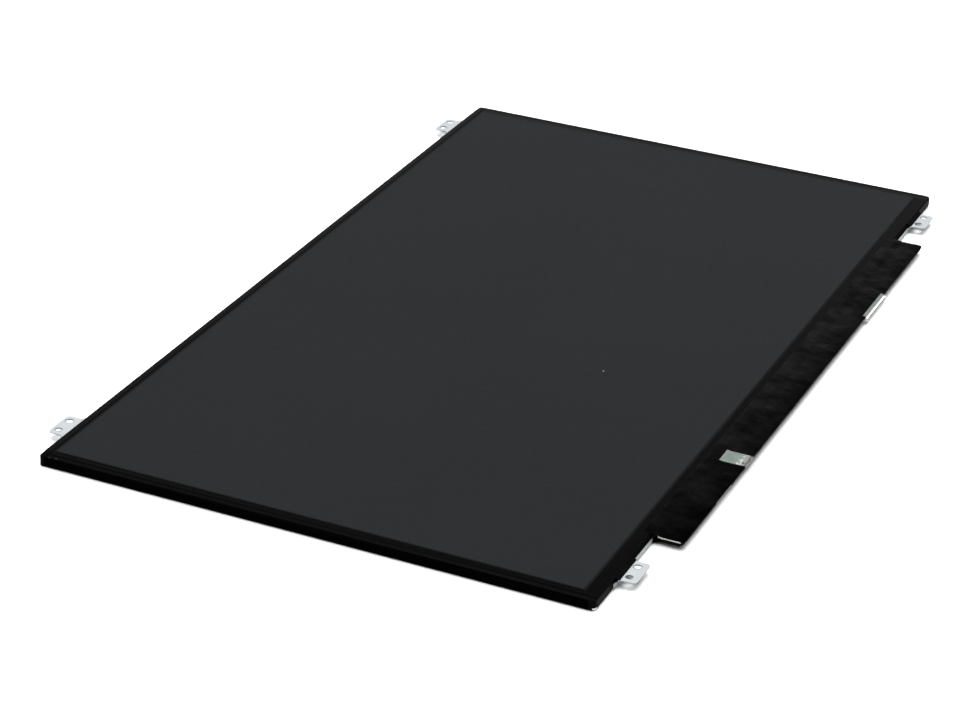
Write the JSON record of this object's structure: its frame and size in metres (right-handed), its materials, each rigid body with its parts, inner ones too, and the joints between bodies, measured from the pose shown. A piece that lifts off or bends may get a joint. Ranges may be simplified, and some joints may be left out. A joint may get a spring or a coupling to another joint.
{
  "type": "laptop screen panel",
  "caption": "Slim bare laptop display module with matte screen, black borders, four sheet-metal fixing tabs and a taped control board along its bottom edge.",
  "frame": {"origin": "on the rear face, under the middle of the display area", "axes": "+X along the panel's width to the viewer's right, +Y to its top edge, +Z out of the screen"},
  "size_m": [0.319, 0.2005, 0.0038],
  "materials": {
    "screen_film": "matte anti-glare film",
    "cell_glass": "clear thin glass",
    "polariser_film": "smoky film",
    "optical_film": "translucent white film",
    "clear_acrylic": "clear polished sheet",
    "white_reflector": "white film",
    "black_tape": "matte black tape",
    "crinkled_tape": "crinkled black tape",
    "black_film": "smooth black insulating film",
    "foil_tape": "wrinkled grey metallic tape",
    "frame_plastic": "satin black moulding",
    "cover_steel": "zinc-coated sheet",
    "bracket_steel": "bright sheet",
    "board_laminate": "green laminate",
    "flex_film": "amber film",
    "chip_black": "moulded black",
    "capacitor_tan": "tan ceramic",
    "resistor_black": "glazed black",
    "inductor_grey": "pressed grey powder core",
    "led_white": "white package",
    "connector_plastic": "ivory moulding",
    "contact_gold": "gold-plated strip",
    "shell_steel": "tinned sheet"
  },
  "bodies": {
    "root": {"rear_cover": "cover_steel", "mould_frame": "frame_plastic", "reflector_sheet": "white_reflector", "light_guide_plate": "clear_acrylic", "led_flex": "flex_film", "led_packages": "led_white", "diffuser_sheet": "optical_film", "lower_prism_sheet": "optical_film", "upper_prism_sheet": "optical_film", "cell_rim_tape": "black_tape", "rear_polariser": "polariser_film", "array_glass": "cell_glass", "colour_filter_glass": "cell_glass", "front_polariser": "screen_film", "left_edge_tape": "black_tape", "right_edge_tape": "black_tape", "top_edge_tape": "black_tape", "bottom_edge_tape": "black_tape", "bracket_top_left": "bracket_steel", "bracket_top_right": "bracket_steel", "bracket_bottom_left": "bracket_steel", "bracket_bottom_right": "bracket_steel", "panel_flexes": "flex_film", "source_driver_chips": "chip_black", "control_board": "board_laminate", "board_front_tape": "crinkled_tape", "board_foil_tape": "foil_tape", "board_rear_film": "black_film", "signal_connector_housing": "connector_plastic", "signal_connector_contacts": "contact_gold", "signal_connector_shell": "shell_steel", "timing_controller_chip": "chip_black", "power_converter_chip": "chip_black", "backlight_driver_chip": "chip_black", "memory_chip": "chip_black", "power_inductors": "inductor_grey", "ceramic_capacitors": "capacitor_tan", "chip_resistors": "resistor_black"}
  },
  "joints": []
}
